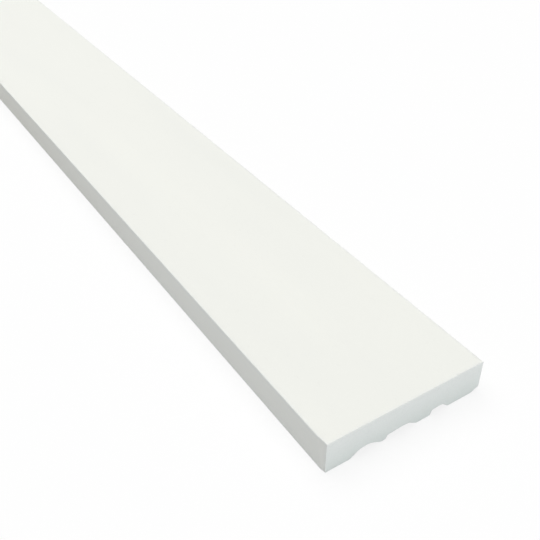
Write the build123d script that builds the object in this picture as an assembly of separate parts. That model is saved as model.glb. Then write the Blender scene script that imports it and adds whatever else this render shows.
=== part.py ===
from build123d import *
import os
from dataclasses import dataclass

# Fibre cement trim board, one pressed and sawn length. It has a flat show face, square
# long edges with eased arrises, and a relieved back: uneven hollows run the whole length
# between the flat feet that bear on the wall.
# Millimetres. X runs across the face, Y along the board and Z up. The board lies on its
# back, and the origin is on the floor under the middle of the board.

# Driving sizes
WIDTH = 88.9
THICKNESS = 17.8
LENGTH = 3657.6

# Radii of the arrises along the board
FACE_ARRIS = 0.5
BACK_ARRIS = 0.4
SCANT_ARRIS = 0.6

# The narrow foot between the first two hollows stands this far short of the wall
NARROW_FOOT_GAP = 0.3


@dataclass
class Hollow:
    """One hollow of the back, seen from the near end: a wall, a shallow arch and a ramp.

    The start is measured from the board's left edge, and heights from the plane of the
    feet. Every run is a distance across the board from the point before it.
    """

    start: float
    wall_run: float
    wall_rise: float
    crown_run: float
    depth: float
    shoulder_run: float
    shoulder_rise: float
    ramp_run: float
    radii: tuple
    foot_before: float = 0.0
    foot_after: float = 0.0

    def corners(self):
        """The hollow's corners before they are rounded, from left to right."""
        wall_top = self.start + self.wall_run
        crown = wall_top + self.crown_run
        shoulder = crown + self.shoulder_run
        end = shoulder + self.ramp_run
        return [
            (self.start, self.foot_before),
            (wall_top, self.wall_rise),
            (crown, self.depth),
            (shoulder, self.shoulder_rise),
            (end, self.foot_after),
        ]


# The radii go foot, wall top, crown, shoulder, next foot
LEFT_HOLLOW = Hollow(
    start=13.8,
    wall_run=4.6,
    wall_rise=3.2,
    crown_run=4.2,
    depth=3.65,
    shoulder_run=2.4,
    shoulder_rise=3.2,
    ramp_run=5.7,
    radii=(2.0, 6.0, 8.0, 6.0, 4.0),
    foot_after=NARROW_FOOT_GAP,
)
MIDDLE_HOLLOW = Hollow(
    start=33.1,
    wall_run=1.1,
    wall_rise=2.45,
    crown_run=8.2,
    depth=3.2,
    shoulder_run=3.9,
    shoulder_rise=2.85,
    ramp_run=4.7,
    radii=(1.2, 0.8, 30.0, 3.5, 3.0),
    foot_before=NARROW_FOOT_GAP,
)
RIGHT_HOLLOW = Hollow(
    start=59.1,
    wall_run=0.9,
    wall_rise=2.75,
    crown_run=3.8,
    depth=3.35,
    shoulder_run=2.7,
    shoulder_rise=3.0,
    ramp_run=3.3,
    radii=(0.8, 0.7, 12.0, 2.0, 2.0),
)
HOLLOWS = [LEFT_HOLLOW, MIDDLE_HOLLOW, RIGHT_HOLLOW]

# The right edge is sawn through the first wall of a fourth hollow
SCANT_START = 84.3
SCANT_RISE = 2.2
SCANT_RADIUS = 1.5


def section_outline():
    """Corners of the cross-section and their radii, round from the left edge's foot."""
    corners = [(0.0, 0.0)]
    radii = [BACK_ARRIS]
    for hollow in HOLLOWS:
        corners += hollow.corners()
        radii += hollow.radii
    corners += [(SCANT_START, 0.0), (WIDTH, SCANT_RISE)]
    radii += [SCANT_RADIUS, SCANT_ARRIS]
    corners += [(WIDTH, THICKNESS), (0.0, THICKNESS)]
    radii += [FACE_ARRIS, FACE_ARRIS]
    return corners, radii


def trim_board():
    """The whole board: its cross-section drawn in the XZ plane and run along Y."""
    corners, radii = section_outline()
    centred = [(across - WIDTH / 2, height) for across, height in corners]
    with BuildPart() as board:
        with BuildSketch(Plane.XZ):
            with BuildLine():
                FilletPolyline(*centred, radius=radii, close=True)
            make_face()
        extrude(amount=LENGTH / 2, both=True)
    return board.part


os.makedirs("parts", exist_ok=True)
export_step(trim_board(), "parts/trim_board.step")
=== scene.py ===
"""Looks of a primed fibre cement trim board that lies on its back.

Metres, on the frame's own axes: X runs across the board, Y along it and Z out of its show face.
The near end is the one at the low end of Y.
"""

import logging
import math
from dataclasses import dataclass
from enum import Enum

import bpy
import numpy as np
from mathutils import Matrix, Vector


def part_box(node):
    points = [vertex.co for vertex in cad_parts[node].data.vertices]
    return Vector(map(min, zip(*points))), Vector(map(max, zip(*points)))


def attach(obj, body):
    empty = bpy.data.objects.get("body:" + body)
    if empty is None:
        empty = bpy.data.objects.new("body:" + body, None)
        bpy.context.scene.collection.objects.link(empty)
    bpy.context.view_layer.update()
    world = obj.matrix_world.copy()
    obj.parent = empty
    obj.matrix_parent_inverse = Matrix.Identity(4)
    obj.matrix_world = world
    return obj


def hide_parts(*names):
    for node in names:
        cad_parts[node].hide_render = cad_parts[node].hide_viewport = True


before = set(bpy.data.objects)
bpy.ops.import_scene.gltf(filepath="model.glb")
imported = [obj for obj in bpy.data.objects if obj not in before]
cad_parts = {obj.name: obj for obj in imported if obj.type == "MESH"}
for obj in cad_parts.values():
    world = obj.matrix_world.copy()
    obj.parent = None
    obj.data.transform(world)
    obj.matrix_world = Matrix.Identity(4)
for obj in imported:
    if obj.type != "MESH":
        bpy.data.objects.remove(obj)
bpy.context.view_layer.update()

LOG = logging.getLogger("trim_board")
BODY = "root"
NODE = "trim_board"
PIECE = "primed_trim_board"

# The map laid out for printing the finishes through, and its side in pixels
PRINT_MAP = "OFBake"
PRINT_SIDE = 1024

# A point attribute that is 1 on the arrises and cut edges and falls to 0 beside them
EDGE_WEAR = "edge_wear"

Span = tuple[float, float]
Triple = tuple[float, float, float]
Colour = tuple[float, float, float]
Socket = bpy.types.NodeSocket
Input = Socket | float | Triple | Colour

WHITE = (1.0, 1.0, 1.0)
MICROMETRE = 1e-6

# The middle of the saw blade in the plane of the section, across the board and up
BLADE_CENTRE = (-0.045, -0.118)

# Where a colour Mix node has its share, its two colours and its result
MIX_SHARE = 0
MIX_UNDER = 6
MIX_OVER = 7
MIX_RESULT = 2


class Region(Enum):
    """The surfaces of the board, each with a finish of its own. The value is its material slot."""

    PRIMED = 0
    SAWN = 1
    BACK = 2


def unit(vectors: np.ndarray) -> np.ndarray:
    """Scales each row of an array to length one."""
    return vectors / np.linalg.norm(vectors, axis=-1, keepdims=True)


def turned_left(directions: np.ndarray) -> np.ndarray:
    """Turns each flat direction a quarter to the left."""
    return np.stack([-directions[..., 1], directions[..., 0]], axis=-1)


def by_quad(grid: np.ndarray) -> np.ndarray:
    """Gathers what a grid holds at each quad's corners: its point, the next row, across, and back."""
    corners = [grid[:-1, :-1], grid[1:, :-1], grid[1:, 1:], grid[:-1, 1:]]
    return np.stack(corners, axis=2).reshape(-1, 4, *grid.shape[2:])


def quad_mesh(name: str, points: np.ndarray, quads: np.ndarray) -> bpy.types.Mesh:
    """Makes a smooth mesh of quads.

    Args:
        name: The mesh's name.
        points: Its points, one row each.
        quads: The numbers of each quad's points, one row each.

    Returns:
        The mesh.
    """
    mesh = bpy.data.meshes.new(name)
    mesh.vertices.add(len(points))
    mesh.vertices.foreach_set("co", points.astype(np.float32).ravel())
    mesh.loops.add(quads.size)
    mesh.loops.foreach_set("vertex_index", quads.astype(np.int32).ravel())
    mesh.polygons.add(len(quads))
    mesh.polygons.foreach_set("loop_start", np.arange(0, quads.size, 4, dtype=np.int32))
    mesh.update(calc_edges=True)
    mesh.shade_smooth()
    return mesh


def shares(values: np.ndarray) -> np.ndarray:
    """Measures how far each value of a rising list is from its first to its last, from 0 to 1."""
    return (values - values[0]) / np.ptp(values)


def lengths(ring: np.ndarray) -> np.ndarray:
    """Measures how far along a closed ring each point is, with the perimeter as one more value."""
    step = np.linalg.norm(np.roll(ring, -1, axis=0) - ring, axis=1)
    return np.concatenate([[0.0], np.cumsum(step)])


def rounded(corners: np.ndarray, radii: np.ndarray, points: int) -> np.ndarray:
    """Rounds every corner of a closed outline.

    The arc of a corner touches both its sides. Its centre is on the bisector, at the radius over the
    sine of half the corner's angle, and its ends are at the radius over the tangent of that half.

    Args:
        corners: The outline's corners, one row each.
        radii: A radius for each corner.
        points: How many points each arc has.

    Returns:
        The arcs, as corner by point by coordinate.
    """
    back = unit(np.roll(corners, 1, axis=0) - corners)
    ahead = unit(np.roll(corners, -1, axis=0) - corners)
    half = 0.5 * np.arccos((back * ahead).sum(axis=1))
    centres = corners + unit(back + ahead) * (radii / np.sin(half))[:, None]
    first = corners + back * (radii / np.tan(half))[:, None] - centres
    last = corners + ahead * (radii / np.tan(half))[:, None] - centres
    turn = np.arctan2((turned_left(first) * last).sum(axis=1), (first * last).sum(axis=1))
    start = np.arctan2(first[:, 1], first[:, 0])
    angle = start[:, None] + turn[:, None] * np.linspace(0, 1, points)
    round_it = np.stack([np.cos(angle), np.sin(angle)], axis=-1)
    return centres[:, None] + radii[:, None, None] * round_it


def spaced(line: np.ndarray, steps: int, turn_length: float) -> np.ndarray:
    """Lays points along a line so that they crowd where it turns.

    They are evenly spaced in a measure that adds the line's length to turn_length times the radians
    that it has turned.

    Args:
        line: The line's points, one row each.
        steps: The number of spaces between the new points.
        turn_length: The length that a turn of one radian counts for.

    Returns:
        The new points, one more than steps.
    """
    step = np.diff(line, axis=0)
    heading = np.unwrap(np.arctan2(step[:, 1], step[:, 0]))
    turned = np.concatenate([[0.0], np.abs(np.diff(heading)), [0.0]])
    size = np.linalg.norm(step, axis=1) + turn_length * 0.5 * (turned[:-1] + turned[1:])
    measure = np.concatenate([[0.0], np.cumsum(size)])
    at = np.linspace(0.0, measure[-1], steps + 1)
    return np.column_stack([np.interp(at, measure, line[:, axis]) for axis in (0, 1)])


@dataclass(frozen=True)
class Hollow:
    """One hollow of the back, seen from the near end: a wall, a shallow arch and a ramp.

    The start is measured from the board's left edge, and heights from the plane of the feet. Every
    run is a distance across the board from the point before it.
    """

    start: float
    wall_run: float
    wall_rise: float
    crown_run: float
    depth: float
    shoulder_run: float
    shoulder_rise: float
    ramp_run: float
    radii: tuple[float, float, float, float, float]
    foot_before: float = 0.0
    foot_after: float = 0.0

    def corners(self) -> np.ndarray:
        """Adds up the hollow's corners before they are rounded.

        Returns:
            Five rows of distance across and height, from left to right.
        """
        runs = [self.start, self.wall_run, self.crown_run, self.shoulder_run, self.ramp_run]
        wall, shoulder = self.wall_rise, self.shoulder_rise
        heights = [self.foot_before, wall, self.depth, shoulder, self.foot_after]
        return np.column_stack([np.cumsum(runs), heights])


# The narrow foot between the first two hollows stands this far short of the wall
NARROW_FOOT_GAP = 0.0003

LEFT_HOLLOW = Hollow(
    start=0.0138,
    wall_run=0.0046,
    wall_rise=0.0032,
    crown_run=0.0042,
    depth=0.00365,
    shoulder_run=0.0024,
    shoulder_rise=0.0032,
    ramp_run=0.0057,
    radii=(0.002, 0.006, 0.008, 0.006, 0.004),
    foot_after=NARROW_FOOT_GAP,
)
MIDDLE_HOLLOW = Hollow(
    start=0.0331,
    wall_run=0.0011,
    wall_rise=0.00245,
    crown_run=0.0082,
    depth=0.0032,
    shoulder_run=0.0039,
    shoulder_rise=0.00285,
    ramp_run=0.0047,
    radii=(0.0012, 0.0008, 0.03, 0.0035, 0.003),
    foot_before=NARROW_FOOT_GAP,
)
RIGHT_HOLLOW = Hollow(
    start=0.0591,
    wall_run=0.0009,
    wall_rise=0.00275,
    crown_run=0.0038,
    depth=0.00335,
    shoulder_run=0.0027,
    shoulder_rise=0.003,
    ramp_run=0.0033,
    radii=(0.0008, 0.0007, 0.012, 0.002, 0.002),
)


@dataclass(frozen=True)
class BoardSection:
    """The cross-section of the board, with X from the middle of its width and Z up from its feet."""

    width: float
    thickness: float
    hollows: tuple[Hollow, ...] = (LEFT_HOLLOW, MIDDLE_HOLLOW, RIGHT_HOLLOW)
    face_arris: float = 0.0005
    back_arris: float = 0.0004
    scant_arris: float = 0.0006
    scant_start: float = 0.0843
    scant_rise: float = 0.0022
    scant_radius: float = 0.0015
    columns: int = 150
    rows: int = 30
    turn_length: float = 0.006
    arc_points: int = 25

    def arcs(self) -> np.ndarray:
        """Rounds the section's corners, round from the foot of the left edge.

        The right edge is sawn through the first wall of a fourth hollow, so it starts above the feet.

        Returns:
            The arcs, as corner by point by coordinate.
        """
        hollows = np.concatenate([hollow.corners() for hollow in self.hollows])
        scant = [(self.scant_start, 0.0), (self.width, self.scant_rise)]
        top = [(self.width, self.thickness), (0.0, self.thickness)]
        corners = np.concatenate([[(0.0, 0.0)], hollows, scant, top])
        of_hollows = [radius for hollow in self.hollows for radius in hollow.radii]
        of_edges = [self.scant_radius, self.scant_arris, self.face_arris, self.face_arris]
        radii = np.array([self.back_arris, *of_hollows, *of_edges])
        return rounded(corners - (self.width / 2, 0.0), radii, self.arc_points)

    def sides(self) -> tuple[np.ndarray, np.ndarray, np.ndarray, np.ndarray]:
        """Divides the outline into four lines whose points face each other.

        The face has a point above each point of the back, at the same share of its width.

        Returns:
            The back and the face from left to right, then the left and right edges from the feet up.
        """
        arcs = self.arcs()
        left_foot, right_foot, right_top, left_top = arcs[0], arcs[-3], arcs[-2], arcs[-1]
        under = np.concatenate([left_foot[-1:], arcs[1:-3].reshape(-1, 2), right_foot[:1]])
        up_left = np.concatenate([left_top, left_foot])[::-1]
        up_right = np.concatenate([right_foot, right_top])
        back = spaced(under, self.columns, self.turn_length)
        left = spaced(up_left, self.rows, self.turn_length)
        right = spaced(up_right, self.rows, self.turn_length)
        face = left[-1] + shares(back[:, 0])[:, None] * (right[-1] - left[-1])
        return back, face, left, right

    def ring(self) -> np.ndarray:
        """Joins the four sides into one ring, anticlockwise as seen from the near end."""
        back, face, left, right = self.sides()
        return np.concatenate([back, right[1:], face[-2::-1], left[-2:0:-1]])

    def border(self, around: np.ndarray) -> np.ndarray:
        """Lays what a ring holds round the border of an end's grid.

        Args:
            around: A value for each point of the ring, which may be a number or a vector.

        Returns:
            The grid, as column by row, with zeros inside its border.
        """
        right_top = self.columns + self.rows
        left_top = right_top + self.columns
        closed = np.concatenate([around, around[:1]])
        grid = np.zeros((self.columns + 1, self.rows + 1, *around.shape[1:]), dtype=around.dtype)
        grid[:, 0] = closed[: self.columns + 1]
        grid[-1] = closed[self.columns : right_top + 1]
        grid[:, -1] = closed[right_top : left_top + 1][::-1]
        grid[0] = closed[left_top:][::-1]
        return grid

    def patch(self, lip: np.ndarray) -> np.ndarray:
        """Fills the flat face of an end with a grid.

        Each column is a straight line from the back to the face. Its points divide it as those of the
        left edge divide the thickness, and more and more as those of the right edge do.

        Args:
            lip: The border of the flat face, point by point beside the section's ring.

        Returns:
            The grid, as column by row by coordinate.
        """
        grid = self.border(lip)
        low, high = grid[1:-1, :1], grid[1:-1, -1:]
        back, _, left, right = self.sides()
        across = shares(back[:, 0])[:, None]
        up = (1 - across) * shares(left[:, 1]) + across * shares(right[:, 1])
        grid[1:-1, 1:-1] = low + up[1:-1, 1:-1, None] * (high - low)
        return grid

    def from_arris(self) -> np.ndarray:
        """Measures how far each point of the ring is from the nearest of the four arrises."""
        arrises = self.arcs()[[0, -3, -2, -1]].mean(axis=1)
        return np.linalg.norm(self.ring()[:, None] - arrises, axis=2).min(axis=1)

    def from_outline(self, points: np.ndarray) -> np.ndarray:
        """Measures how far each of some points of the section is from its outline."""
        return np.linalg.norm(points[:, None] - self.ring(), axis=2).min(axis=1)


@dataclass(frozen=True)
class SawnEnd:
    """A crosscut end: its edge is slightly broken, and the blade leaves shallow arcs on it.

    The teeth leave through the face, so the edge breaks out there and down to the clean height.
    """

    cut: float
    outward: float
    seed: int
    edge_radius: float = 0.00008
    breakout: float = 0.00018
    clean_height: float = 0.006
    edge_steps: int = 4
    waves: int = 32
    wave_sizes: Span = (0.4, 1.0)
    shortest_wave: float = 0.0022
    longest_wave: float = 0.03
    kerf_depth: float = 0.000006
    kerf_pitch: float = 0.0024

    def radii(self, ring: np.ndarray) -> np.ndarray:
        """Gives each point of the ring the radius that its cut edge is broken to.

        It is a plain radius, plus the breakout times the square of a sum of sines where that is above
        zero. Each sine fits a whole number of times into the perimeter. The breakout grows from
        nothing at the clean height to all of it at twice that.

        Args:
            ring: The section's outline.

        Returns:
            One radius for each point.
        """
        random = np.random.default_rng(self.seed)
        along = lengths(ring)
        perimeter = along[-1]
        fewest, most = perimeter / self.longest_wave, perimeter / self.shortest_wave
        counts = np.round(np.geomspace(fewest, most, self.waves))
        phases = random.uniform(0.0, math.tau, self.waves)
        sizes = random.uniform(*self.wave_sizes, self.waves)
        sines = np.sin(math.tau * counts * along[:-1, None] / perimeter + phases)
        rough = np.clip(sines @ sizes / math.sqrt(sizes.sum()), 0.0, 1.0) ** 2
        near_face = np.clip(ring[:, 1] / self.clean_height - 1.0, 0.0, 1.0)
        return self.edge_radius + self.breakout * rough * near_face

    def kerf(self, section: np.ndarray) -> np.ndarray:
        """Gives the depth of the blade's marks: a raised cosine of the distance from its centre."""
        away = np.linalg.norm(section - BLADE_CENTRE, axis=-1)
        return self.kerf_depth * 0.5 * (1.0 + np.cos(math.tau * away / self.kerf_pitch))

    def placed(self, section: np.ndarray, behind: np.ndarray) -> np.ndarray:
        """Puts points of the section in space, each at its own distance behind the cut."""
        y = self.cut - self.outward * behind
        return np.stack([section[..., 0], y, section[..., 1]], axis=-1)

    def inset(self, ring: np.ndarray, distance: np.ndarray) -> np.ndarray:
        """Moves each point of the ring inwards, square to the ring, by its own distance."""
        chord = np.roll(ring, -1, axis=0) - np.roll(ring, 1, axis=0)
        return ring + turned_left(unit(chord)) * distance[..., None]

    def lip(self, ring: np.ndarray) -> np.ndarray:
        """Gives the border of the end's flat face: the outline, set in by its broken edge."""
        return self.inset(ring, self.radii(ring))

    def edge(self, ring: np.ndarray) -> np.ndarray:
        """Rounds the cut edge, ring by ring from the end's face to the board's full section.

        At an angle t from the end's face each point is the radius times 1 - sin t inside the outline,
        and the radius times 1 - cos t behind the cut. The kerf fades out with cos t.

        Args:
            ring: The section's outline.

        Returns:
            The rings, as step by point by coordinate in space.
        """
        radii = self.radii(ring)
        angle = np.linspace(0.0, math.pi / 2, self.edge_steps + 1)[:, None]
        inset = radii * (1.0 - np.sin(angle))
        behind = radii * (1.0 - np.cos(angle)) + self.kerf(ring) * np.cos(angle)
        return self.placed(self.inset(ring, inset), behind)

    def face(self, patch: np.ndarray) -> np.ndarray:
        """Places the inner points of the end's grid, set back by the kerf."""
        inner = patch[1:-1, 1:-1].reshape(-1, 2)
        return self.placed(inner, self.kerf(inner))


@dataclass(frozen=True)
class NippedCorner:
    """The near end's left corner, which is pressed in a little over its last few millimetres.

    The nip and its reach along the board are given at the feet and at the face.
    """

    left: float
    end: float
    thickness: float
    nip: Span = (0.00043, 0.00055)
    along: Span = (0.0019, 0.0049)
    across: float = 0.003

    def inward(self, points: np.ndarray) -> np.ndarray:
        """Gives how far each point moves to the right.

        It is the nip at the point's height, times a flat-topped bell curve of the distance from the
        end over the reach along the board, times a bell curve of the distance from the left edge.

        Args:
            points: Points of the board, one row each.

        Returns:
            One distance for each point.
        """
        height = points[:, 2] / self.thickness
        nip, along = (low + (high - low) * height for low, high in (self.nip, self.along))
        from_end = (points[:, 1] - self.end) / along
        from_left = (points[:, 0] - self.left) / self.across
        return nip * np.exp(-(from_end**4) - from_left**2)


@dataclass(frozen=True)
class PrintMap:
    """The flat layout of the board's surface, in shares of a square.

    The board is cut across into strips, each with its whole ring laid flat, and the two ends lie side
    by side above them at a larger scale. Each has a gap of a few pixels round it.
    """

    strips: int = 4
    ends_share: float = 0.085
    gap: float = 4 / PRINT_SIDE

    def wall(self, along_board: np.ndarray, round_ring: np.ndarray) -> np.ndarray:
        """Lays out the quads that run along the board.

        Args:
            along_board: The share of the board's length at each quad's corners.
            round_ring: The share of the perimeter at each quad's corners.

        Returns:
            Quad by corner by map coordinate.
        """
        strip = np.floor(along_board.mean(axis=1, keepdims=True) * self.strips)
        u = self.gap + (along_board * self.strips - strip) * (1 - 2 * self.gap)
        height = (1 - self.ends_share) / self.strips
        v = strip * height + self.gap + round_ring * (height - 2 * self.gap)
        return np.stack([u, v], axis=-1)

    def end(self, corners: np.ndarray, half: int) -> np.ndarray:
        """Lays out the quads of an end.

        Args:
            corners: The share of the width and of the thickness at each quad's corners.
            half: 0 for the left half of the map, and 1 for the right.

        Returns:
            Quad by corner by map coordinate.
        """
        across, up = corners[..., 0], corners[..., 1]
        u = (half + across) / 2 * (1 - 4 * self.gap) + self.gap * (1 + 2 * half)
        v = 1 - self.ends_share + self.gap + up * (self.ends_share - 2 * self.gap)
        return np.stack([u, v], axis=-1)


@dataclass(frozen=True)
class TrimBoard:
    """The board: its section run along Y in rings that crowd towards the two sawn ends."""

    section: BoardSection
    near: SawnEnd
    far: SawnEnd
    nipped: NippedCorner
    layout: PrintMap = PrintMap()
    end_stations: int = 56
    middle_stations: int = 14
    crowding: float = 6.0
    first_station: float = 0.0004
    wear_width: float = 0.0009

    def stations(self) -> np.ndarray:
        """Spaces the plain rings along Y.

        From each end to a quarter of the length the distance grows as an exponential, and between the
        quarters the rings are evenly spaced. The first is just clear of the end's broken edge.

        Returns:
            The places along Y, from the near end to the far one.
        """
        quarter = (self.far.cut - self.near.cut) / 4
        steps = np.linspace(0.0, 1.0, self.end_stations + 1)
        growth = np.expm1(self.crowding * steps) / math.expm1(self.crowding)
        to_quarter = self.first_station + (quarter - self.first_station) * growth
        to_middle = np.linspace(quarter, 2 * quarter, self.middle_stations + 1)[1:]
        half = np.concatenate([to_quarter, to_middle])
        return np.concatenate([self.near.cut + half, self.far.cut - half[-2::-1]])

    def rings(self) -> np.ndarray:
        """Stacks every ring of the board, from the near end's face to the far end's.

        Returns:
            The rings, as station by point by coordinate in space.
        """
        ring = self.section.ring()
        stations = self.stations()
        plain = np.empty((len(stations), len(ring), 3))
        plain[..., [0, 2]] = ring
        plain[..., 1] = stations[:, None]
        return np.concatenate([self.near.edge(ring), plain, self.far.edge(ring)[::-1]])

    def end_grid(self, first_of_ring: int, first_inside: int) -> np.ndarray:
        """Numbers the grid points of an end, whose border is the ring beside it.

        Args:
            first_of_ring: The number of that ring's first point.
            first_inside: The number of the first point inside the border.

        Returns:
            Point numbers, as column by row.
        """
        around = np.arange(2 * (self.section.columns + self.section.rows))
        grid = self.section.border(first_of_ring + around)
        inside = grid[1:-1, 1:-1]
        inside[:] = first_inside + np.arange(inside.size).reshape(inside.shape)
        return grid

    def patches(self) -> tuple[np.ndarray, np.ndarray]:
        """Fills the flat faces of the near end and the far end, each inside its own broken edge."""
        ring = self.section.ring()
        return self.section.patch(self.near.lip(ring)), self.section.patch(self.far.lip(ring))

    def wear(self, rings: np.ndarray) -> np.ndarray:
        """Grades each point by how near it is to an arris or a cut edge.

        It is a bell curve of the distance to the nearest arris or cut on the rings, and to the outline
        on the ends.

        Args:
            rings: Every ring of the board.

        Returns:
            One value from 0 to 1 for each point of the rings, then of each end's inside.
        """
        to_cut = np.minimum(rings[..., 1] - self.near.cut, self.far.cut - rings[..., 1])
        on_wall = np.minimum(to_cut, self.section.from_arris()).ravel()
        insides = [patch[1:-1, 1:-1].reshape(-1, 2) for patch in self.patches()]
        distance = np.concatenate([on_wall, *map(self.section.from_outline, insides)])
        return np.exp(-((distance / self.wear_width) ** 2))

    def print_corners(self, rings: np.ndarray) -> np.ndarray:
        """Gives each corner of each quad its place on the print map.

        Args:
            rings: Every ring of the board.

        Returns:
            Quad by corner by map coordinate: the wall, the near end and the far end.
        """
        round_ring = lengths(self.section.ring())
        y = np.concatenate([rings[..., 1], rings[:, :1, 1]], axis=1)
        length = self.far.cut - self.near.cut
        along_board = by_quad((y - self.near.cut) / length)
        share = by_quad(np.broadcast_to(round_ring / round_ring[-1], y.shape))
        half = (self.section.width / 2, 0.0)
        size = (self.section.width, self.section.thickness)
        near, far = ((patch + half) / size for patch in self.patches())
        near, far = by_quad(near), by_quad(far.transpose(1, 0, 2))
        wall = self.layout.wall(along_board, share)
        return np.concatenate([wall, self.layout.end(near, 0), self.layout.end(far, 1)])

    def points(self, rings: np.ndarray) -> np.ndarray:
        """Lists every point of the board, with the near end's left corner pressed in.

        Args:
            rings: Every ring of the board.

        Returns:
            The points of the rings, then of the near end's inside and the far end's.
        """
        near, far = self.patches()
        points = np.concatenate([rings.reshape(-1, 3), self.near.face(near), self.far.face(far)])
        points[:, 0] += self.nipped.inward(points)
        return points

    def quads(self, rings: np.ndarray) -> tuple[np.ndarray, np.ndarray]:
        """Numbers the points of every quad, which all face outwards.

        Args:
            rings: Every ring of the board.

        Returns:
            The quads of the wall, and those of the near end and the far end.
        """
        count, around = rings.shape[:2]
        number = np.arange(count * around).reshape(count, around)
        wall = by_quad(np.concatenate([number, number[:, :1]], axis=1))
        near = self.end_grid(0, number.size)
        far = self.end_grid(number.size - around, number.size + near[1:-1, 1:-1].size)
        return wall, np.concatenate([by_quad(near), by_quad(far.T)])

    def regions(self, rings: np.ndarray, ends: np.ndarray) -> np.ndarray:
        """Gives each quad the material slot of its region.

        Args:
            rings: Every ring of the board.
            ends: The quads of the two ends.

        Returns:
            One slot for each quad: the wall, then the ends.
        """
        count, around = rings.shape[:2]
        on_back = np.arange(around) < self.section.columns
        on_ring = np.where(on_back, Region.BACK.value, Region.PRIMED.value)
        on_ends = np.full(len(ends), Region.SAWN.value)
        return np.concatenate([np.tile(on_ring, count - 1), on_ends]).astype(np.int32)

    def mesh(self) -> bpy.types.Mesh:
        """Builds the closed mesh of the board, with its regions, edge wear and print map.

        Returns:
            The mesh.
        """
        rings = self.rings()
        wall, ends = self.quads(rings)
        mesh = quad_mesh(PIECE, self.points(rings), np.concatenate([wall, ends]))
        mesh.polygons.foreach_set("material_index", self.regions(rings, ends))
        wear = mesh.attributes.new(EDGE_WEAR, "FLOAT", "POINT")
        wear.data.foreach_set("value", self.wear(rings).astype(np.float32))
        print_map = mesh.uv_layers.new(name=PRINT_MAP)
        corners = self.print_corners(rings).astype(np.float32)
        print_map.uv.foreach_set("vector", corners.ravel())
        return mesh

    def build(self, finishes: dict[Region, bpy.types.Material]) -> bpy.types.Object:
        """Makes the board's piece, dresses it and stands it in for the frame's plain board.

        Args:
            finishes: The material of each region.

        Returns:
            The finished piece.
        """
        mesh = self.mesh()
        for region in Region:
            mesh.materials.append(finishes[region])
        piece = bpy.data.objects.new(PIECE, mesh)
        bpy.context.scene.collection.objects.link(piece)
        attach(piece, BODY)
        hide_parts(NODE)
        return piece


class Graph:
    """A node tree, with short calls that add nodes to it."""

    def __init__(self, tree: bpy.types.NodeTree) -> None:
        """Takes the tree's nodes and links."""
        self.nodes = tree.nodes
        self.links = tree.links

    def plug(self, value: Input, target: Socket) -> None:
        """Links an output to an input, or sets the input to a value of its own.

        Args:
            value: Another node's output, a number, a vector or a colour.
            target: The input.
        """
        if isinstance(value, bpy.types.NodeSocket):
            self.links.new(value, target)
        elif isinstance(value, tuple) and target.type == "RGBA":
            target.default_value = (*value, 1.0)
        else:
            target.default_value = value

    def node(self, kind: str, inputs: dict[str | int, Input], **settings: object) -> bpy.types.Node:
        """Adds a node.

        Args:
            kind: The node's type.
            inputs: What goes into each input: another node's output, a number, a vector or a colour.
            settings: Properties of the node to set first.

        Returns:
            The new node.
        """
        made = self.nodes.new(kind)
        for name, value in settings.items():
            setattr(made, name, value)
        for name, value in inputs.items():
            self.plug(value, made.inputs[name])
        return made

    def maths(self, operation: str, first: Input, second: Input = 0.0) -> Socket:
        """Works out one sum from one value or two."""
        return self.node("ShaderNodeMath", {0: first, 1: second}, operation=operation).outputs[0]

    def object_place(self) -> Socket:
        """Gives the object's own coordinates in metres."""
        return self.node("ShaderNodeTexCoord", {}).outputs["Object"]

    def along(self, axis: str) -> Socket:
        """Gives the object's own X, Y or Z in metres."""
        return self.node("ShaderNodeSeparateXYZ", {"Vector": self.object_place()}).outputs[axis]

    def graded(self, value: Socket, span: Span, to: Span = (0.0, 1.0)) -> Socket:
        """Stretches one span of values to another, and cuts off what is outside it."""
        ends = {"From Min": span[0], "From Max": span[1], "To Min": to[0], "To Max": to[1]}
        return self.node("ShaderNodeMapRange", {"Value": value, **ends}).outputs["Result"]

    def tint(self, share: Socket, under: Input, over: Input) -> Socket:
        """Mixes two colours, with all of the second where share is 1."""
        inputs = {MIX_SHARE: share, MIX_UNDER: under, MIX_OVER: over}
        return self.node("ShaderNodeMix", inputs, data_type="RGBA").outputs[MIX_RESULT]

    def shader_mix(self, share: Socket, under: bpy.types.Node, over: bpy.types.Node) -> Socket:
        """Mixes two shaders, with all of the second where share is 1."""
        inputs = {0: share, 1: under.outputs[0], 2: over.outputs[0]}
        return self.node("ShaderNodeMixShader", inputs).outputs[0]

    def seen_directly(self) -> Socket:
        """Tells the rays that see from the rays that carry light.

        Returns:
            1 for camera, mirrored and refracted rays, and 0 for the others.
        """
        path = self.node("ShaderNodeLightPath", {}).outputs
        bent = self.maths("MAXIMUM", path["Is Glossy Ray"], path["Is Transmission Ray"])
        return self.maths("MAXIMUM", path["Is Camera Ray"], bent)


@dataclass(frozen=True)
class Cloud:
    """Cloudy noise: values about 0.5, mostly from 0.3 to 0.7.

    The size is of its patches. The stretch is how many times longer they are along each axis, and the
    detail is how many finer layers are added, each fainter than the one before by the fineness. The
    depth is its relief in micrometres.
    """

    size: float
    stretch: Triple = (1.0, 1.0, 1.0)
    detail: float = 2.0
    fineness: float = 0.55
    depth: float = 0.0


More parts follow.
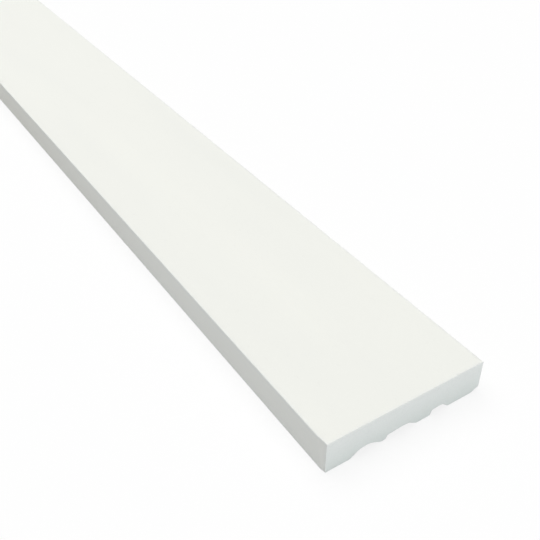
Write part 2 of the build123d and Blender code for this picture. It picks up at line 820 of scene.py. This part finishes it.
class Surface(Graph):
    """A new material, with short calls for the patterns that the finishes are made of.

    Every pattern reads Object coordinates, so that it keeps its real size in metres.
    """

    def __init__(self, name: str) -> None:
        """Starts the material with its shader and the object's coordinates.

        Args:
            name: The material's name.
        """
        self.material = bpy.data.materials.new(name)
        self.material.use_nodes = True
        super().__init__(self.material.node_tree)
        self.shader = self.nodes["Principled BSDF"]
        self.place = self.object_place()

    def noise(self, cloud: Cloud) -> Socket:
        """Adds cloudy noise.

        Args:
            cloud: Its size, stretch, detail and fineness.

        Returns:
            The noise's values.
        """
        squeeze = tuple(1.0 / times for times in cloud.stretch)
        at = self.node("ShaderNodeMapping", {"Vector": self.place, "Scale": squeeze}).outputs[0]
        looks = {"Scale": 1.0 / cloud.size, "Detail": cloud.detail, "Roughness": cloud.fineness}
        return self.node("ShaderNodeTexNoise", {"Vector": at, **looks}).outputs["Fac"]

    def grains(self, size: float) -> bpy.types.Node:
        """Adds packed grains of a size, with a distance and a random colour for each."""
        return self.node("ShaderNodeTexVoronoi", {"Vector": self.place, "Scale": 1.0 / size})

    def total(self, *parts: tuple[Socket, float]) -> Socket:
        """Adds several values, each times its own weight.

        Args:
            parts: The values and their weights.

        Returns:
            Their sum.
        """
        weighted = [self.maths("MULTIPLY", value, weight) for value, weight in parts]
        whole = weighted[0]
        for part in weighted[1:]:
            whole = self.maths("ADD", whole, part)
        return whole

    def worn_edge(self, break_up: Socket) -> Socket:
        """Reads the edge wear, broken up by a pattern so that its border isn't even."""
        wear = self.node("ShaderNodeAttribute", {}, attribute_name=EDGE_WEAR).outputs["Fac"]
        return self.maths("MULTIPLY", wear, break_up)

    def finish(self, colour: Socket, roughness: Socket, relief: Socket) -> bpy.types.Material:
        """Joins the patterns to the shader.

        Args:
            colour: The colour of the surface.
            roughness: Its roughness.
            relief: Its height in micrometres.

        Returns:
            The material.
        """
        self.plug(colour, self.shader.inputs["Base Color"])
        self.plug(roughness, self.shader.inputs["Roughness"])
        inputs = {"Height": relief, "Distance": MICROMETRE, "Strength": 1.0}
        self.plug(self.node("ShaderNodeBump", inputs).outputs["Normal"], self.shader.inputs["Normal"])
        return self.material


@dataclass(frozen=True)
class PrimedCoat:
    """Factory primer on the face and the long edges: matt, faintly pebbled, drawn out lengthwise.

    Each span gives the values of a pattern at which its effect starts and is whole. The gloss is the
    roughness from its smoothest to its dullest.
    """

    thick_coat: Colour = (0.900, 0.907, 0.853)
    thin_coat: Colour = (0.881, 0.890, 0.842)
    bare_fibre: Colour = (0.80, 0.80, 0.76)
    worn: Colour = (0.845, 0.862, 0.835)
    lap: Cloud = Cloud(size=0.04, stretch=(1.0, 7.0, 1.0), detail=3.0)
    lap_span: Span = (0.35, 0.7)
    lap_in_shine: float = 0.4
    drag: Cloud = Cloud(size=0.0018, stretch=(1.0, 60.0, 1.0), depth=14.0)
    pebble: Cloud = Cloud(size=0.0006, depth=60.0)
    pebble_in_shine: float = 0.6
    fibre: Cloud = Cloud(size=0.0009, stretch=(1.0, 4.0, 1.0), depth=8.0)
    fibre_span: Span = (0.66, 0.76)
    fibre_share: float = 0.35
    wear_span: Span = (0.3, 0.6)
    shine_span: Span = (0.35, 0.65)
    gloss: Span = (0.60, 0.74)

    def material(self) -> bpy.types.Material:
        """Makes the material.

        Returns:
            The coat: laps of thicker and thinner primer, sparse fibres, and edges worn a little thin.
        """
        graph = Surface("factory_primer")
        lap, drag, pebble = (graph.noise(cloud) for cloud in (self.lap, self.drag, self.pebble))
        fibre = graph.graded(graph.noise(self.fibre), self.fibre_span)
        colour = graph.tint(graph.graded(lap, self.lap_span), self.thick_coat, self.thin_coat)
        colour = graph.tint(graph.maths("MULTIPLY", fibre, self.fibre_share), colour, self.bare_fibre)
        wear = graph.worn_edge(graph.graded(pebble, self.wear_span))
        colour = graph.tint(wear, colour, self.worn)
        shine = graph.total((pebble, self.pebble_in_shine), (lap, self.lap_in_shine))
        roughness = graph.graded(shine, self.shine_span, self.gloss)
        depths = [(drag, self.drag.depth), (pebble, self.pebble.depth), (fibre, self.fibre.depth)]
        return graph.finish(colour, roughness, graph.total(*depths))


@dataclass(frozen=True)
class SawnCore:
    """The bare core on a sawn end: fine sand and cellulose, torn pores and the blade's fine lines.

    Its ground colour is graded with height as painted shade: darker and cooler towards the feet,
    lighter under the face. Each span gives the values of a pattern at which its effect starts and is
    whole. Depths are in micrometres.
    """

    thickness: float
    # Painted light under the face and painted shade at the feet, graded between them by height
    painted_light_under_face: Colour = (0.862, 0.889, 0.862)
    painted_shade_at_feet: Colour = (0.757, 0.811, 0.782)
    dust: Colour = (0.874, 0.898, 0.872)
    dusting: Cloud = Cloud(size=0.006, detail=4.0)
    dusting_span: Span = (0.3, 0.7)
    dust_share: float = 0.3
    sand: Colour = (0.754, 0.788, 0.766)
    sand_size: float = 0.0007
    sand_span: Span = (0.4, 1.0)
    sand_share: float = 0.35
    sand_depth: float = 25.0
    pore: Colour = (0.70, 0.73, 0.71)
    pores: Cloud = Cloud(size=0.0006, detail=3.0, depth=-35.0)
    pore_span: Span = (0.36, 0.28)
    pore_share: float = 0.6
    kerf_pitch: float = 0.0008
    kerf_depth: float = 6.0
    shake: Cloud = Cloud(size=0.004)
    shake_angle: float = 6.0
    gloss: Span = (0.78, 0.92)

    def kerf(self, graph: Surface) -> Socket:
        """Draws the blade's lines: a sine of the distance from its centre, shaken by noise.

        Args:
            graph: The material's graph.

        Returns:
            Values from -1 to 1.
        """
        across, up = BLADE_CENTRE
        flatten = {0: graph.place, 1: (1.0, 0.0, 1.0)}
        flat = graph.node("ShaderNodeVectorMath", flatten, operation="MULTIPLY").outputs[0]
        reach = {0: flat, 1: (across, 0.0, up)}
        away = graph.node("ShaderNodeVectorMath", reach, operation="DISTANCE").outputs["Value"]
        turns = graph.maths("MULTIPLY", away, math.tau / self.kerf_pitch)
        shake = graph.maths("MULTIPLY", graph.noise(self.shake), self.shake_angle)
        return graph.maths("SINE", graph.maths("ADD", turns, shake))

    def material(self) -> bpy.types.Material:
        """Makes the material.

        Returns:
            The core: a ground graded from painted light under the face to painted shade at the feet,
            with clouds of dust, grains of sand in many tones, sparse pores and saw lines.
        """
        graph = Surface("sawn_core")
        dusting = graph.noise(self.dusting)
        sand = graph.grains(self.sand_size)
        pore = graph.graded(graph.noise(self.pores), self.pore_span)
        kerf = self.kerf(graph)
        # Painted shade: the ground colour darkens and cools from under the face down to the feet
        height = graph.graded(graph.along("Z"), (0.0, self.thickness))
        colour = graph.tint(height, self.painted_shade_at_feet, self.painted_light_under_face)
        dust = graph.graded(dusting, self.dusting_span, (0.0, self.dust_share))
        colour = graph.tint(dust, colour, self.dust)
        tone = graph.graded(sand.outputs["Color"], self.sand_span, (0.0, self.sand_share))
        colour = graph.tint(tone, colour, self.sand)
        colour = graph.tint(graph.maths("MULTIPLY", pore, self.pore_share), colour, self.pore)
        roughness = graph.graded(dusting, self.dusting_span, self.gloss)
        depths = [(sand.outputs["Distance"], self.sand_depth), (pore, self.pores.depth)]
        return graph.finish(colour, roughness, graph.total(*depths, (kerf, self.kerf_depth)))


@dataclass(frozen=True)
class SealedBack:
    """The back and its hollows: a thin sealer over the press felt's print, with lengthwise lines.

    The sealer's patches are a sum of three patterns, each times its own weight. Each span gives the
    values of a pattern at which its effect starts and is whole.
    """

    sealer: Colour = (0.815, 0.826, 0.795)
    bare: Colour = (0.705, 0.722, 0.702)
    soak: Cloud = Cloud(size=0.03, stretch=(1.0, 3.0, 1.0), detail=5.0)
    soak_weight: float = 0.45
    felt: Cloud = Cloud(size=0.0016, detail=3.0, depth=130.0)
    felt_weight: float = 0.3
    line: Cloud = Cloud(size=0.0011, stretch=(1.0, 90.0, 1.0), depth=80.0)
    line_weight: float = 0.25
    patch_span: Span = (0.42, 0.58)
    grit: Colour = (0.60, 0.61, 0.59)
    grains: Cloud = Cloud(size=0.0012, detail=3.0)
    grit_span: Span = (0.34, 0.26)
    grit_share: float = 0.5
    wear_span: Span = (0.3, 0.6)
    shine_span: Span = (0.4, 0.6)
    gloss: Span = (0.70, 0.88)

    def material(self) -> bpy.types.Material:
        """Makes the material.

        Returns:
            The back: sealer that soaked in unevenly, the felt's pitted print, lines along the board
            and sparse dark grit.
        """
        graph = Surface("sealed_back")
        soak, felt, line = (graph.noise(cloud) for cloud in (self.soak, self.felt, self.line))
        weighted = [(soak, self.soak_weight), (felt, self.felt_weight), (line, self.line_weight)]
        patch = graph.total(*weighted)
        colour = graph.tint(graph.graded(patch, self.patch_span), self.sealer, self.bare)
        grit = graph.graded(graph.noise(self.grains), self.grit_span, (0.0, self.grit_share))
        colour = graph.tint(grit, colour, self.grit)
        wear = graph.worn_edge(graph.graded(felt, self.wear_span))
        colour = graph.tint(wear, colour, self.bare)
        roughness = graph.graded(patch, self.shine_span, self.gloss)
        depths = [(felt, self.felt.depth), (line, self.line.depth)]
        return graph.finish(colour, roughness, graph.total(*depths))


@dataclass(frozen=True)
class Softbox:
    """A wide soft lamp, so far away that it lights the whole board alike.

    It is tilted from straight overhead towards the near end, and away from it below zero. Its spread
    is the angle that it fills, as seen from the board. Both are in degrees.
    """

    name: str
    strength: float
    tilt: float
    spread: float

    def build(self) -> bpy.types.Object:
        """Hangs the lamp.

        Returns:
            The lamp.
        """
        data = bpy.data.lights.new(self.name, "SUN")
        data.energy = self.strength
        data.angle = math.radians(self.spread)
        lamp = bpy.data.objects.new(self.name, data)
        lamp.rotation_euler = (math.radians(self.tilt), 0.0, 0.0)
        bpy.context.scene.collection.objects.link(lamp)
        return lamp


OVERHEAD = Softbox("overhead_softbox", strength=1.67, tilt=-25.0, spread=60.0)
FRONT = Softbox("front_softbox", strength=1.09, tilt=65.0, spread=50.0)


@dataclass(frozen=True)
class Studio:
    """A plain white floor and soft light: an even surround, a lamp overhead and one in front.

    The floor's tones are the shares of light that it sends back to the board, by the board's near end
    and away from it. One fades into the other over a stretch that is measured from that end.
    """

    near_end: float
    floor_side: float = 60.0
    floor_drop: float = 0.00005
    near_tone: Colour = (0.678, 0.693, 0.719)
    away_tone: Colour = (0.575, 0.575, 0.575)
    fade: Span = (0.13, 0.36)
    shadow_share: float = 0.2
    surround: float = 0.335
    lamps: tuple[Softbox, ...] = (OVERHEAD, FRONT)

    def floor_material(self) -> bpy.types.Material:
        """Makes the floor's paper, which is seen as white but keeps a share of its shadows.

        Returns:
            A matt pale grey for the rays that light. For the rays that see, it is plain white with a
            share of matt white, and that share takes the shadows.
        """
        material = bpy.data.materials.new("studio_paper")
        material.use_nodes = True
        graph = Graph(material.node_tree)
        graph.nodes.clear()
        seen = graph.seen_directly()
        first, last = (self.near_end + distance for distance in self.fade)
        away = graph.graded(graph.along("Y"), (first, last))
        sent_back = graph.tint(away, self.near_tone, self.away_tone)
        tone = graph.tint(seen, sent_back, WHITE)
        matt = graph.node("ShaderNodeBsdfDiffuse", {"Color": tone})
        plain = graph.node("ShaderNodeEmission", {"Color": WHITE, "Strength": 1.0})
        share = graph.maths("MULTIPLY", seen, 1.0 - self.shadow_share)
        graph.node("ShaderNodeOutputMaterial", {"Surface": graph.shader_mix(share, matt, plain)})
        return material

    def build_floor(self) -> bpy.types.Object:
        """Lays the floor just under the board's feet.

        Returns:
            The floor.
        """
        half = self.floor_side / 2
        corners = np.array([(-half, -half), (half, -half), (half, half), (-half, half)])
        points = np.column_stack([corners, np.full(len(corners), -self.floor_drop)])
        mesh = bpy.data.meshes.new("studio_floor")
        mesh.from_pydata(points.tolist(), [], [(0, 1, 2, 3)])
        mesh.materials.append(self.floor_material())
        floor = bpy.data.objects.new("studio_floor", mesh)
        bpy.context.scene.collection.objects.link(floor)
        return floor

    def build_surround(self) -> bpy.types.World:
        """Sets the surround.

        Returns:
            The world, which lights evenly from all sides and is white where it is seen.
        """
        world = bpy.data.worlds.new("studio_surround")
        world.use_nodes = True
        graph = Graph(world.node_tree)
        graph.nodes.clear()
        glow = graph.node("ShaderNodeBackground", {"Color": WHITE, "Strength": self.surround})
        plain = graph.node("ShaderNodeBackground", {"Color": WHITE, "Strength": 1.0})
        mixed = graph.shader_mix(graph.seen_directly(), glow, plain)
        graph.node("ShaderNodeOutputWorld", {"Surface": mixed})
        bpy.context.scene.world = world
        return world

    def build(self) -> list[bpy.types.ID]:
        """Sets up the floor, the surround and the lamps."""
        return [self.build_floor(), self.build_surround(), *(lamp.build() for lamp in self.lamps)]


@dataclass(frozen=True)
class NearCornerCamera:
    """A camera over the near end that looks down and to the right along the board.

    The offset runs from the face's left corner at the near end. The heading is turned from the
    board's length towards its right edge, and the dip is below the horizon.
    """

    offset: Triple = (-0.13347, -0.16333, 0.25202)
    heading: float = 33.09
    dip: float = 37.68
    lens: float = 52.6
    sensor: float = 36.0
    clip_start: float = 0.01

    def build(self, corner: Vector) -> bpy.types.Object:
        """Makes the scene's camera.

        Args:
            corner: The face's left corner at the near end.

        Returns:
            The camera.
        """
        data = bpy.data.cameras.new("near_corner_camera")
        data.lens = self.lens
        data.sensor_width = self.sensor
        data.clip_start = self.clip_start
        heading, dip = math.radians(self.heading), math.radians(self.dip)
        level = math.cos(dip)
        ahead = Vector((level * math.sin(heading), level * math.cos(heading), -math.sin(dip)))
        camera = bpy.data.objects.new("near_corner_camera", data)
        camera.location = corner + Vector(self.offset)
        camera.rotation_euler = ahead.to_track_quat("-Z", "Y").to_euler()
        bpy.context.scene.collection.objects.link(camera)
        bpy.context.scene.camera = camera
        return camera


def main() -> None:
    """Builds the board, the studio and the camera."""
    logging.basicConfig(level=logging.INFO, format="%(name)s: %(message)s")
    low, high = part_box(NODE)
    section = BoardSection(width=high.x - low.x, thickness=high.z - low.z)
    near = SawnEnd(cut=low.y, outward=-1.0, seed=11)
    far = SawnEnd(cut=high.y, outward=1.0, seed=12)
    nipped = NippedCorner(left=low.x, end=low.y, thickness=section.thickness)
    finishes = {
        Region.PRIMED: PrimedCoat().material(),
        Region.SAWN: SawnCore(thickness=section.thickness).material(),
        Region.BACK: SealedBack().material(),
    }
    piece = TrimBoard(section, near, far, nipped).build(finishes)
    LOG.info("%s: %d quads, stands for %s", piece.name, len(piece.data.polygons), NODE)

    for made in Studio(near_end=low.y).build():
        LOG.info("%s: in place", made.name)
    camera = NearCornerCamera().build(Vector((low.x, low.y, high.z)))
    LOG.info("%s: %.2f mm lens", camera.name, camera.data.lens)
    bpy.context.scene.view_settings.view_transform = "Standard"


if __name__ == "__main__":
    main()
